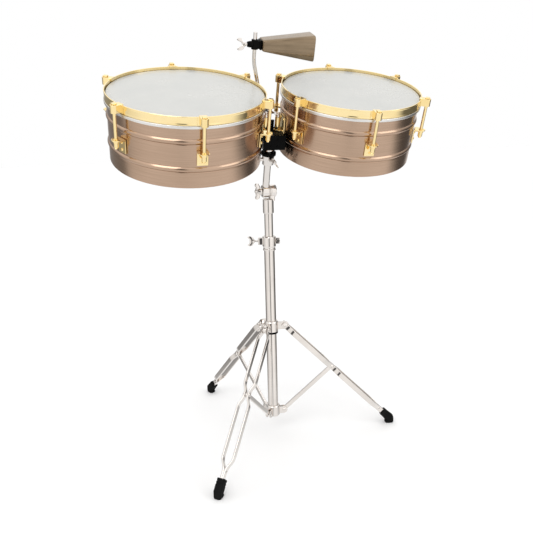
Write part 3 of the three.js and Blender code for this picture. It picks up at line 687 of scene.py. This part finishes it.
def build_studs(body):
    """The two clamping studs: a gold sleeve with a thread above it."""
    radius, sleeve_top, top = STUD["radius"], STUD["sleeve"], STUD["high"]
    root = BLOCK["roof"] - 3 * MM
    for side, x in zip(SIDES, (-STUD["x"], STUD["x"])):
        place = HEAD @ Matrix.Translation((x, STUD["y"], 0))
        sleeve = pipe(7 * MM, radius, STUD["low"], sleeve_top, 40, 0.8 * MM)
        piece(f"{side}_stud_sleeve", sleeve, place, "gold", body)
        thread = [(radius - (0.4 * MM if i % 2 else 0), sleeve_top + 0.7 * MM * i) for i in range(18)]
        bolt = [(0, root), (radius - 0.1 * MM, root), *thread, (radius - 1 * MM, top), (0, top)]
        piece(f"{side}_stud", turned(bolt, 24), place, "chrome", body)


def build_bell_holder(body):
    """The holder of the cowbell's rod: a back plate, an arm, and a barrel round the leaning rod."""
    screw = joint_place("bell_rod_screw_turn")
    at = HEAD.inverted() @ screw.translation
    barrel = pipe(11 * MM, ROD_BORE, -17 * MM, 17 * MM, 48, 1.2 * MM)
    boss = moved(bar(6 * MM, 9 * MM, 17 * MM, 32, 0.8 * MM), TOWARD_X)
    bores = [bore(ROD_BORE, -30 * MM, 30 * MM, 32), moved(bore(SCREW_BORE, 0, 30 * MM), TOWARD_X)]
    place = axes(screw.translation, JOINTS["bell_rod_slide"]["axis"])
    piece("bell_holder", combined([barrel, boss], bores), place, "chrome", body)
    back = BLOCK["back"]
    plate = block(-16 * MM, 16 * MM, back - 1 * MM, back + 5 * MM, BLOCK["floor"] + 3 * MM, 184 * MM)
    arm = block(at.x - 7 * MM, at.x + 7 * MM, back + 4 * MM, at.y - 8 * MM, at.z - 8 * MM, at.z + 8 * MM)
    piece("bell_arm", combined([plate, arm]), HEAD, "black", body)


def build_mount_plate(side):
    """The gold plate between a shell and the bracket, with its ledge round the stud and four screws."""
    node = f"{side}_mount_plate"
    low, high = extent(node, HEAD)
    facing = 1 if side == "left" else -1
    wall = low.x if facing > 0 else high.x
    half = (high.y - low.y) / 2
    thick = 3 * MM
    stud_x, y = -facing * STUD["x"], STUD["y"]
    outline = fillet(rectangle(low.z, high.z, -half, half), 4 * MM)
    plate = slab(outline, min(0, facing * thick), max(0, facing * thick), 0.6 * MM)
    plate = moved(plate, axes((wall, y, 0), EAST, UP))
    ledge_low, ledge_high = 166.4 * MM, 170.4 * MM
    ledge = fillet(rectangle(wall, stud_x, y - 13 * MM, y + 13 * MM), 0.4 * MM)
    parts = [plate, slab(ledge, ledge_low, ledge_high, 0.7 * MM),
             bar(9 * MM, ledge_low, ledge_high, 40, 0.7 * MM, stud_x, y)]
    inward = rotation(90 * facing, "Y")
    for aside in (-12 * MM, 12 * MM):
        for z in (low.z + 8 * MM, high.z - 8 * MM):
            head = moved(screw_head(3 * MM, 2 * MM), inward)
            parts.append(shifted(head, wall + facing * thick, y + aside, z))
    hole = bore(STUD["radius"] + GAP, 150 * MM, 190 * MM, 32, stud_x, y)
    stand_in(node, combined(parts, [hole]), HEAD, "gold")


# ---- cowbell
def rounded_section(tall, deep, corner):
    """A rounded rectangle in Y-Z."""
    steps = 5
    b, a = deep / 2 - corner, tall / 2 - corner
    points = []
    for quarter, (sy, sz) in enumerate(((1, 1), (-1, 1), (-1, -1), (1, -1))):
        for step in range(steps + 1):
            angle = math.radians(90 * quarter + 90 * step / steps)
            points.append((sy * b + corner * math.cos(angle), sz * a + corner * math.sin(angle)))
    return points


def crowned_section(tall, deep):
    """A rectangle in Y-Z with round corners and slightly bulging sides."""
    return [(deep / 2 * squared(math.cos(a), 0.3), tall / 2 * squared(math.sin(a), 0.3)) for a in circle(64)]


def build_cowbell():
    low, high = extent("cowbell", HEAD)
    turn = HEAD.inverted() @ joint_at("bell_hinge")
    y = turn.y
    heel_z, mouth_z = 362 * MM, 357 * MM
    heel, mouth = (28 * MM, 45 * MM), (66 * MM, 62 * MM)
    wall = 1.8 * MM
    length = high.x - low.x

    def ring(along, inset):
        t = along / length
        tall = heel[0] + (mouth[0] - heel[0]) * t - 2 * inset
        deep = heel[1] + (mouth[1] - heel[1]) * t - 2 * inset
        z = heel_z + (mouth_z - heel_z) * t
        return [(low.x + along, y + b, z + a) for b, a in crowned_section(tall, deep)]

    outer = [ring(0, 4 * MM), ring(0.6 * MM, 2 * MM), ring(2 * MM, 0.5 * MM), ring(4.5 * MM, 0)]
    outer += [ring(length * t, 0) for t in (0.25, 0.5, 0.75)]
    outer += [ring(length - 1 * MM, 0), ring(length, 0.5 * MM), ring(length, 1.3 * MM)]
    inner = [ring(length - 1 * MM, wall)] + [ring(length * t, wall) for t in (0.6, 0.25)]
    inner += [ring(6 * MM, wall), ring(3 * MM, 4 * MM)]
    piece("cowbell_look", loft(outer + inner), HEAD, "bell", BODY_OF["cowbell"], "cowbell")
    build_cowbell_clamp(turn, low.x)


def build_cowbell_clamp(turn, heel):
    """The clamp on the bell's heel: an eye round the rod, a web, a strap and the wing bolt's boss."""
    outward = Matrix.Translation(turn) @ rotation(-90, "Y")
    x, y, z = turn
    half = 12 * MM
    end = heel - GAP
    boss = lathe([
        (0, 6 * MM, 0), (8 * MM, 6 * MM), (8 * MM, 13 * MM), (6.4 * MM, 20 * MM), (0, 20 * MM, 0),
    ], 1 * MM, 36)
    parts = [
        shifted(pipe(9 * MM, 5.15 * MM, z - half, z + half, 40, 1.2 * MM), x, y),
        block(x - 2 * MM, end, y - 9 * MM, y + 9 * MM, z - 10 * MM, z + 10 * MM, 2 * MM, 3 * MM),
        block(end - 4.6 * MM, end, y - half, y + half, z - half, z + half, 1.5 * MM, 4 * MM),
        moved(boss, outward),
    ]
    bores = [bore(5.15 * MM, z - 20 * MM, z + 20 * MM, 32, x, y),
             moved(bore(SCREW_BORE, 0, 40 * MM), outward)]
    stand_in("cowbell_clamp", combined(parts, bores), HEAD, "black")


def build_cowbell_rod():
    top_z = extent("cowbell_rod", HEAD)[1].z
    turn = HEAD.inverted() @ joint_at("bell_hinge")
    down = HEAD.to_3x3().inverted() @ -Vector(JOINTS["bell_rod_slide"]["axis"])
    bend = Vector((turn.x, turn.y, 317 * MM))
    radius = 4.75 * MM
    bottom = bend + down * 175 * MM
    soft = 15 * MM
    start, stop = bend + down * soft, bend + UP * soft
    shares = [i / 12 for i in range(13)]
    curve = [start * (1 - t) ** 2 + bend * 2 * t * (1 - t) + stop * t**2 for t in shares]
    top = Vector((bend.x, bend.y, top_z))
    mesh = sweep([bottom, bottom + (start - bottom) * 0.5, *curve, (stop + top) / 2, top], radius, 32)
    rims = [edge for edge in mesh.edges if edge.calc_face_angle(0) > 1]
    bmesh.ops.bevel(mesh, geom=rims, offset=1.2 * MM, segments=3, profile=0.5, affect="EDGES")
    stand_in("cowbell_rod", mesh, HEAD, "chrome")


# ---- stand
TUBE_RADIUS = 15 * MM
INNER_RADIUS = 12 * MM
TUBE_BORE = TUBE_RADIUS + GAP
INNER_BORE = INNER_RADIUS + GAP
LEG_ANGLE = math.radians(44.8)
DOWN_LEG = Vector((math.sin(LEG_ANGLE), 0, -math.cos(LEG_ANGLE)))
LEG_TO_JOINT = 193 * MM
LEG_TO_PINCH = 391 * MM
LEG_STRIP = {"thick": 5 * MM, "deep": 15 * MM, "spread": 15 * MM, "end": 444 * MM}
EAR_THICK = 10 * MM
BRACE_THICK = 6 * MM
FOOT_START = 417 * MM


def build_tubes():
    for node, radius in (("outer_tube", TUBE_RADIUS), ("inner_tube", INNER_RADIUS)):
        low, high = extent(node, STAND)
        outline = rectangle(radius - 1.5 * MM, radius, low.z, high.z)
        stand_in(node, lathe(outline, 0.6 * MM, 96), STAND, "chrome")


def leg_plane(k):
    """The upright plane of a leg: X outward from the stand's axis, Y along the hinges, Z up."""
    pin = joint_at(f"brace_{k}_hinge") - STAND.translation
    return axes(STAND.translation, UP, Vector((pin.x, pin.y, 0)))


def upright_link(x0, z0, x1, z1, width, thick, edge):
    """A bar with round ends in an upright plane, centred on it."""
    along = math.degrees(math.atan2(z1 - z0, x1 - x0))
    length = math.hypot(x1 - x0, z1 - z0)
    outline = arc(width / 2, 90, 270, 14) + arc(width / 2, -90, 90, 14, length)
    bar_mesh = slab(outline, -thick / 2, thick / 2, edge, 3)
    moved(bar_mesh, TOWARD_PLAYER)
    return shifted(spun(bar_mesh, -along, "Y"), x0, 0, z0)


def across(mesh):
    """Turns a piece drawn along Z to lie along Y."""
    return spun(mesh, -90, "X")


def build_hub():
    low, high = extent("base_hub", STAND)
    parts = [lathe([
        (TUBE_BORE, low.z), (18 * MM, low.z), (20 * MM, low.z + 3 * MM), (20 * MM, high.z - 3 * MM),
        (18 * MM, high.z), (TUBE_BORE, high.z),
    ], 1 * MM, 80)]
    cheek = BRACE_THICK / 2 + GAP
    out = cheek + 4 * MM
    for k in LEGS:
        plane = STAND.inverted() @ leg_plane(k)
        pin = leg_plane(k).inverted() @ joint_at(f"brace_{k}_hinge")
        for side in (-1, 1):
            fork = upright_link(16.5 * MM, pin.z, pin.x, pin.z, 20 * MM, 4 * MM, 0.9 * MM)
            parts.append(moved(shifted(fork, y=side * (cheek + 2 * MM)), plane))
        rivet = combined([across(bore(3 * MM, -out, out, 24)), *rivet_heads(4.4 * MM, 2 * MM, out)])
        parts.append(moved(shifted(rivet, pin.x, 0, pin.z), plane))
    tube = bore(TUBE_BORE, low.z - 5 * MM, high.z + 5 * MM, 80)
    stand_in("base_hub", combined(parts, [tube]), STAND, "chrome")
    cap = bar(TUBE_RADIUS - 2 * MM, low.z + 2.4 * MM, low.z + 12 * MM, 48, 1 * MM)
    piece("tube_end_plug", cap, STAND, "rubber", "base")


def build_leg_collar():
    low, high = extent("leg_collar", STAND)
    parts = [lathe([
        (TUBE_BORE, low.z + 6 * MM), (20 * MM, low.z + 6 * MM), (20 * MM, high.z - 4 * MM),
        (18.6 * MM, high.z - 2 * MM), (18.6 * MM, high.z), (TUBE_BORE, high.z),
    ], 0.9 * MM, 80)]
    for k in LEGS:
        plane = STAND.inverted() @ leg_plane(k)
        pivot = leg_pivot(k)
        ear = upright_link(16 * MM, pivot.z, pivot.x, pivot.z, 22 * MM, EAR_THICK, 1.4 * MM)
        parts.append(moved(ear, plane))
    screw = STAND.inverted() @ joint_place("collar_screw_turn")
    parts.append(moved(bar(6.5 * MM, 17 * MM, 26 * MM, 32, 0.8 * MM), screw))
    bores = [bore(TUBE_BORE, low.z - 5 * MM, high.z + 5 * MM, 80),
             moved(bore(SCREW_BORE, 10 * MM, 30 * MM), screw)]
    stand_in("leg_collar", combined(parts, bores), STAND, "chrome")
    top = low.z + 5.6 * MM
    bush = lathe([(TUBE_BORE, low.z), (19 * MM, low.z), (19.6 * MM, top), (TUBE_BORE, top)], 0.9 * MM, 64)
    piece("collar_bush", bush, STAND, "black", BODY_OF["leg_collar"])


def leg_pivot(k):
    """A leg's pivot in its plane: up the leg from the brace's joint."""
    return leg_plane(k).inverted() @ joint_at(f"leg_{k}_hinge") - DOWN_LEG * LEG_TO_JOINT


def leg_strip(side):
    """One bowed strip of a leg, seen from above it, with soft bends."""
    half = LEG_STRIP["thick"] / 2
    ear = EAR_THICK / 2 + GAP + half
    joint = BRACE_THICK / 2 + 0.5 * MM + half
    spread, pinch = LEG_STRIP["spread"], LEG_TO_PINCH
    line = [(-9 * MM, ear), (11 * MM, ear), (27 * MM, spread), (LEG_TO_JOINT - 28 * MM, spread),
            (LEG_TO_JOINT - 12 * MM, joint), (LEG_TO_JOINT + 12 * MM, joint),
            (LEG_TO_JOINT + 28 * MM, spread), (pinch - 22 * MM, spread), (pinch, half - 0.1 * MM),
            (LEG_STRIP["end"], half - 0.1 * MM)]
    outer = fillet([(s, side * (w + half)) for s, w in line], 12 * MM, 6, closed=False)
    inner = fillet([(s, side * (w - half)) for s, w in line], 9 * MM, 6, closed=False)
    deep = LEG_STRIP["deep"] / 2
    return slab(outer + inner[::-1], -deep, deep, 1.5 * MM, 4)


def rivet_heads(radius, height, out, along=0):
    """The two domed heads of a rivet that lies along Y, at -out and out."""
    dome = [(0, -1 * MM), (radius, -1 * MM), (radius, height * 0.2), (radius * 0.8, height * 0.65),
            (radius * 0.5, height * 0.92), (0, height)]
    return [shifted(spun(turned(dome, 24), -90 * side, "X"), along, side * out) for side in (-1, 1)]


def build_legs():
    thick = LEG_STRIP["thick"]
    out_ear = EAR_THICK / 2 + GAP + thick
    out_joint = BRACE_THICK / 2 + 0.5 * MM + thick
    domes = [(0, out_ear, 5.2 * MM, 2.6 * MM), (LEG_TO_JOINT, out_joint, 5.2 * MM, 2.6 * MM),
             (LEG_TO_PINCH + 8 * MM, thick - 0.1 * MM, 3.6 * MM, 1.6 * MM)]
    for k in LEGS:
        plane = leg_plane(k)
        pivot = leg_pivot(k)
        # X along the leg, Z up and outward from it
        place = plane @ Matrix.Translation(pivot) @ Matrix.Rotation(math.pi / 2 - LEG_ANGLE, 4, "Y")
        pin = shifted(across(bore(3 * MM, -out_joint, out_joint, 24)), LEG_TO_JOINT)
        parts = [leg_strip(1), leg_strip(-1), pin]
        for along, out, radius, height in domes:
            parts += rivet_heads(radius, height, out, along)
        stand_in(f"leg_{k}", combined(parts), place, "chrome")
        build_foot(k, plane, pivot)

        low = plane.inverted() @ joint_at(f"brace_{k}_hinge")
        high = plane.inverted() @ joint_at(f"leg_{k}_hinge")
        strip = upright_link(low.x, low.z, high.x, high.z, 12 * MM, BRACE_THICK, 1.3 * MM)
        holes = [shifted(across(bore(SCREW_BORE, -6 * MM, 6 * MM, 24)), p.x, 0, p.z) for p in (low, high)]
        stand_in(f"brace_{k}", combined([strip], holes), plane, "chrome")


# The boot along the leg, in mm: distance down, height across the leg, width, corner radius.
BOOT = [
    (0, 20, 21, 4), (2, 22.4, 22, 5), (5, 22.4, 22, 5), (6.2, 20.6, 20.8, 5), (8, 20.6, 20.8, 5),
    (9.2, 22.6, 22, 5), (12, 22.8, 22, 5), (13.2, 21, 20.8, 5), (15, 21, 20.8, 5), (16.2, 23, 22, 5),
    (24, 24.4, 22, 6), (34, 26, 22, 7),
]
# Its tread, in mm: how far it still follows the leg, height above the floor, length, width.
TREAD = [(0.4, 9.2, 26.5, 20), (0.12, 3.5, 26, 21), (0.0, 0.8, 24.5, 20), (0, 0, 22.5, 18.5)]
FLOOR_REACH = 356 * MM


def build_foot(k, plane, pivot):
    """A rubber boot round the leg's end: a ribbed neck, a swollen body and a flat tread on the floor."""
    over = Vector((math.cos(LEG_ANGLE), 0, math.sin(LEG_ANGLE)))
    top = pivot + DOWN_LEG * FOOT_START
    rings = []
    for down, tall, wide, corner in BOOT:
        centre = top + DOWN_LEG * down * MM + over * 0.5 * MM
        ring = rounded_section(tall * MM, wide * MM, corner * MM)
        rings.append([centre + Vector((0, b, 0)) + over * a for b, a in ring])
    last = top + DOWN_LEG * BOOT[-1][0] * MM
    for mix, height, long, wide in TREAD:
        centre_x = last.x * mix + FLOOR_REACH * (1 - mix)
        tilt = mix * (math.pi / 2 - LEG_ANGLE) * 0.9
        ring = rounded_section(long * MM, wide * MM, 6 * MM)
        rings.append([Vector((centre_x + a * math.cos(tilt), b, height * MM + a * math.sin(tilt)))
                      for b, a in ring])
    stand_in(f"foot_{k}", loft(rings), plane, "rubber", crease=50)


def build_clamp():
    low, high = extent("tube_clamp", STAND)
    screw = STAND.inverted() @ joint_place("clamp_bolt_turn")
    z = screw.translation.z
    shoulder = 572.4 * MM
    body = lathe([
        (TUBE_BORE, low.z), (18 * MM, low.z), (18.4 * MM, low.z + 4 * MM), (17 * MM, low.z + 5 * MM),
        (17 * MM, low.z + 9 * MM), (19 * MM, low.z + 12 * MM), (19 * MM, high.z - 3 * MM),
        (17.5 * MM, high.z), (INNER_BORE, high.z), (INNER_BORE, shoulder), (TUBE_BORE, shoulder),
    ], 0.9 * MM, 80)
    out = axes((0, 0, z), UP, screw.to_3x3() @ UP)
    boss = moved(block(*(size * MM for size in (15, 31, -8, 8, -10, 10, 1.6, 4))), out)
    ear = moved(block(*(size * MM for size in (-30, -15, -6, 6, -8, 9, 1.4, 3))), out)
    nut = moved(bar(4.6 * MM, -8.6 * MM, 8.6 * MM, 6, 0.5 * MM), TOWARD_PLAYER)
    nut = moved(shifted(nut, -25 * MM, 0, 1 * MM), out)
    bores = [bore(INNER_BORE, shoulder, high.z + 5 * MM, 80), bore(TUBE_BORE, low.z - 5 * MM, shoulder, 80),
             moved(bore(SCREW_BORE, 10 * MM, 35 * MM), screw)]
    stand_in("tube_clamp", combined([body, boss, ear, nut], bores), STAND, "chrome")


def toothed_disc(low, high):
    """A disc along X whose rim carries ratchet teeth."""
    radius, teeth, depth = 17 * MM, 28, 1.1 * MM
    outline = []
    for i in range(teeth):
        at = 360 * i / teeth
        outline += arc(radius, at, at + 200 / teeth, 2)
        outline += arc(radius - depth, at + 230 / teeth, at + 330 / teeth, 1)
    return moved(slab(outline, low, high, 0.35 * MM, 1), TOWARD_X)


def build_tilter():
    tilt = JOINTS["tilt_hinge"]["pos_m"]
    base_place = axes(tilt, UP)
    low, high = extent("tilter_base", base_place)
    sleeve_top = -19 * MM
    socket_top = low.z + 31.4 * MM
    sleeve = lathe([
        (INNER_BORE, low.z, 0), (14.6 * MM, low.z), (15.3 * MM, low.z + 3 * MM),
        (15.3 * MM, sleeve_top - 4 * MM), (12 * MM, sleeve_top, 2 * MM), (0, sleeve_top, 0),
        (0, socket_top, 0), (INNER_BORE, socket_top, 0),
    ], 0.9 * MM, 72)
    near = 3.4 * MM
    arm = block(near, 17 * MM, -11 * MM, 11 * MM, sleeve_top - 8 * MM, 0, 1.2 * MM, 4 * MM)
    disc = moved(bar(17 * MM, near + 3 * MM, high.x, 64, 2 * MM), TOWARD_X)
    teeth = toothed_disc(near, near + 3.4 * MM)
    bolt = moved(bar(4 * MM, low.x, near + 1 * MM, 24, 0.8 * MM), TOWARD_X)
    stand_in("tilter_base", combined([sleeve, arm, disc, teeth, bolt]), base_place, "chrome")

    low, high = extent("tilter_head", HEAD)
    disc = moved(bar(17 * MM, low.x, high.x - 3 * MM, 64, 2 * MM), TOWARD_X)
    teeth = toothed_disc(high.x - 3.4 * MM, high.x)
    post = bar(9.5 * MM, 6 * MM, high.z, 64, 1 * MM, POST_X)
    parts = [disc, teeth, post]
    hole = moved(bore(4.4 * MM, low.x - 5 * MM, high.x + 5 * MM, 24), TOWARD_X)
    stand_in("tilter_head", combined(parts, [hole]), HEAD, "chrome")


# ---- studio
# How bright the studio's surround looks in polished metal: (degrees round from the camera, level). The strip
# behind the camera and the far sides are dark, as in a white tent that is open in front. Its floor is white.
SURROUND = [
    (-180, 0.95), (-165, 0.85), (-148, 0.3), (-106, 0.3), (-90, 0.8), (-78, 0.9), (-45, 1.1), (-9, 1.0),
    (-5, 0.1), (5, 0.1), (9, 1.05), (45, 1.2), (75, 0.95), (98, 0.15), (135, 0.12), (155, 0.85), (180, 0.95),
]
CEILING_LEVEL, CEILING_EDGE = 1.25, (0.15, 0.75)
GROUND_LEVEL, GROUND_EDGE = 1.02, (-0.52, -0.36)
CAMERA_ROUND = math.radians(-105.8)
FLOOR_SIZE = 14.0
STUDIO_LIGHTS = [
    ("key", (-1.5, -2.0, 2.6), (0, 0, 0.8), 16, 1.5),
    ("fill", (1.9, -1.7, 1.9), (0, 0, 0.8), 7, 1.3),
]


def build_world():
    """The surround that metal mirrors: soft panels round the horizon, bright above. The eye sees white."""
    world = bpy.data.worlds.new("studio")
    bpy.context.scene.world = world
    world.use_nodes = True
    tree = world.node_tree
    place = add(tree, "TexCoord", {}).outputs["Generated"]
    rotate = add(tree, "VectorRotate", {"Angle": -CAMERA_ROUND, "Vector": place})
    rotate.rotation_type = "Z_AXIS"
    split = add(tree, "SeparateXYZ", {"Vector": rotate.outputs["Vector"]})
    angle = calculate(tree, "ARCTAN2", split.outputs["Y"], split.outputs["X"])
    panels = add(tree, "ValToRGB", {"Fac": remap(tree, angle, 0, 1, -math.pi, math.pi)})
    panels.color_ramp.interpolation = "EASE"
    elements = panels.color_ramp.elements
    while len(elements) < len(SURROUND):
        elements.new(0.5)
    for element, (degrees, level) in zip(elements, SURROUND):
        element.position = (degrees + 180) / 360
        element.color = (level, level * 0.985, level * 0.97, 1)

    def blend(under, level, factor):
        mix = tree.nodes.new("ShaderNodeMix")
        mix.data_type = "RGBA"
        wire(tree, mix, {"A": under, "B": (level, level, level, 1), "Factor": factor})
        return mix.outputs["Result"]

    rise = remap(tree, split.outputs["Z"], 0, 1, *CEILING_EDGE)
    fall = remap(tree, split.outputs["Z"], 1, 0, *GROUND_EDGE)
    color = blend(panels.outputs["Color"], CEILING_LEVEL, rise)
    color = blend(color, GROUND_LEVEL, fall)
    color = blend(color, 1, add(tree, "LightPath", {}).outputs["Is Camera Ray"])
    wire(tree, tree.nodes["Background"], {"Color": color})


def build_floor():
    mesh = bmesh.new()
    corners = rectangle(-FLOOR_SIZE, FLOOR_SIZE, -FLOOR_SIZE, FLOOR_SIZE)
    mesh.faces.new([mesh.verts.new((x, y, -0.5 * MM)) for x, y in corners])
    floor = as_object(mesh, "studio_floor")
    floor.data.materials.append(new_material("studio_floor", {
        "Base Color": lambda tree: ramp(tree, noise(tree, 3, 2), *FLOOR),
        "Roughness": 0.9,
    }))
    floor.visible_glossy = False


def build_lights():
    for name, place, target, power, width in STUDIO_LIGHTS:
        light = bpy.data.lights.new(name, "AREA")
        light.energy = power
        light.size = width
        made = new_object(name, light)
        made.location = place
        made.rotation_euler = (Vector(target) - Vector(place)).to_track_quat("-Z", "Y").to_euler()


# The camera stands in front of the drums, a little to the player's left, and looks slightly down.
CAMERA = {"back": 1.6669, "height": 0.9069, "round": 15.78, "pitch": 13.4355, "yaw": -0.3168, "roll": -1.4746,
          "lens": 41.107}


def build_camera():
    around_stand = Matrix.Rotation(math.radians(-CAMERA["round"]), 3, "Z")
    pitch, yaw, roll = (math.radians(CAMERA[key]) for key in ("pitch", "yaw", "roll"))
    forward = Vector((math.sin(yaw) * math.cos(pitch), math.cos(yaw) * math.cos(pitch), -math.sin(pitch)))
    level = Vector((math.cos(yaw), -math.sin(yaw), 0))
    upward = level.cross(forward)
    right = level * math.cos(roll) + upward * math.sin(roll)
    up = upward * math.cos(roll) - level * math.sin(roll)
    turn = Matrix((right, up, -forward)).transposed()
    data = bpy.data.cameras.new("camera")
    data.sensor_width = 36
    data.lens = CAMERA["lens"]
    made = new_object("camera", data)
    matrix = (around_stand @ turn).to_4x4()
    matrix.translation = STAND.translation + around_stand @ Vector((0, -CAMERA["back"], CAMERA["height"]))
    made.matrix_world = matrix
    bpy.context.scene.camera = made


# ---- the whole
build_tubes()
build_hub()
build_leg_collar()
build_legs()
build_clamp()
build_tilter()
for drum_side in SIDES:
    build_drum(drum_side)
build_bracket()
build_cowbell()
build_cowbell_rod()
for wing_node, wing_joint, wing_sizes, wing_extras in WING_SCREWS:
    wing_screw(wing_node, wing_joint, *(size * MM for size in wing_sizes), **wing_extras)
build_world()
build_floor()
build_lights()
build_camera()
bpy.context.scene.view_settings.view_transform = "Standard"
